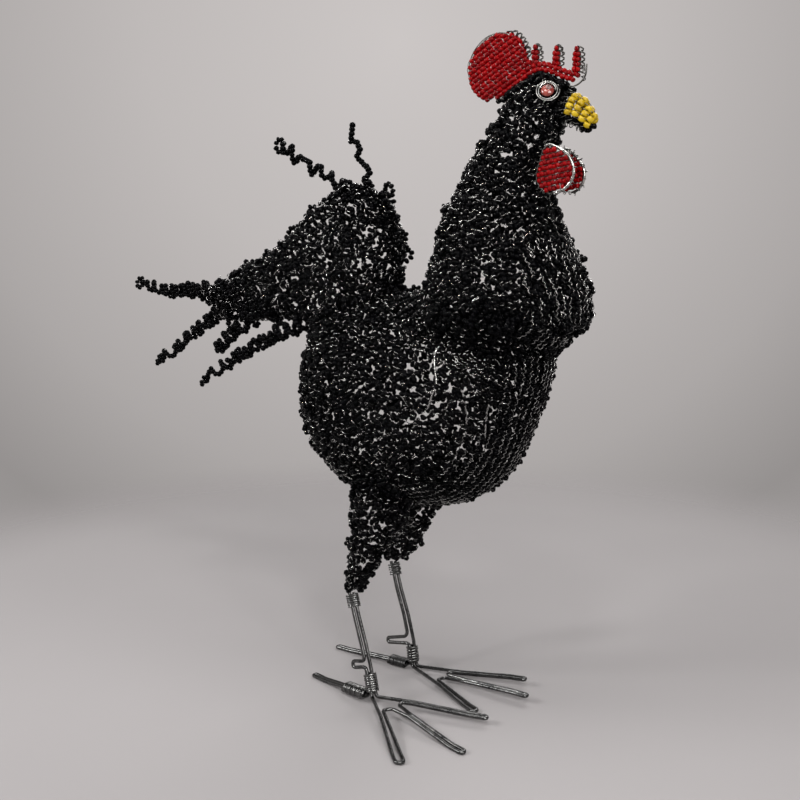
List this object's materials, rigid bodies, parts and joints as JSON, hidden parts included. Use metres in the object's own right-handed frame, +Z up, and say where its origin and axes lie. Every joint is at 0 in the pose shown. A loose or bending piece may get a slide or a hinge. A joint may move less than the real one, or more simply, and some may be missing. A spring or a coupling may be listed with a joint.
{
  "type": "rooster sculpture",
  "caption": "Standing rooster woven from black beads threaded on wire, with a red comb and wattles, a yellow beak and feet of bent heavy wire; it stands on a floor or shelf.",
  "frame": {"origin": "centre of the part's bounding box, on the ground plane under the feet", "axes": "+X ahead to the beak, +Y to the bird's left, +Z up"},
  "size_m": [0.3834, 0.1318, 0.3953],
  "materials": {
    "black_beads": "glossy opaque glass beads on bright thin wire",
    "red_beads": "glossy red glass beads on bright thin wire",
    "yellow_beads": "opaque yellow glass beads",
    "coral_glass": "glossy coral glass",
    "heavy_wire": "dull galvanised steel wire",
    "binding_wire": "dull galvanised steel binding wire",
    "bright_wire": "bright drawn steel wire"
  },
  "bodies": {
    "root": {"ankle_binding_left": "binding_wire", "ankle_binding_right": "binding_wire", "back_toe_binding_left": "binding_wire", "back_toe_binding_right": "binding_wire", "back_toe_left": "heavy_wire", "back_toe_right": "heavy_wire", "beak": "yellow_beads", "body_net": "black_beads", "comb": "red_beads", "comb_frame_wire": "bright_wire", "eye_bead_left": "coral_glass", "eye_bead_right": "coral_glass", "eye_coil_left": "bright_wire", "eye_coil_right": "bright_wire", "hackle_net": "black_beads", "leg_wire_left": "heavy_wire", "leg_wire_right": "heavy_wire", "tail_net": "black_beads", "tail_strand_1": "black_beads", "tail_strand_2": "black_beads", "tail_strand_3": "black_beads", "tail_strand_4": "black_beads", "tail_strand_5": "black_beads", "tail_strand_6": "black_beads", "thigh_binding_left": "binding_wire", "thigh_binding_right": "binding_wire", "thigh_net_left": "black_beads", "thigh_net_right": "black_beads", "wattle_left": "red_beads", "wattle_right": "red_beads", "wattle_rim_left": "bright_wire", "wattle_rim_right": "bright_wire"}
  },
  "joints": []
}
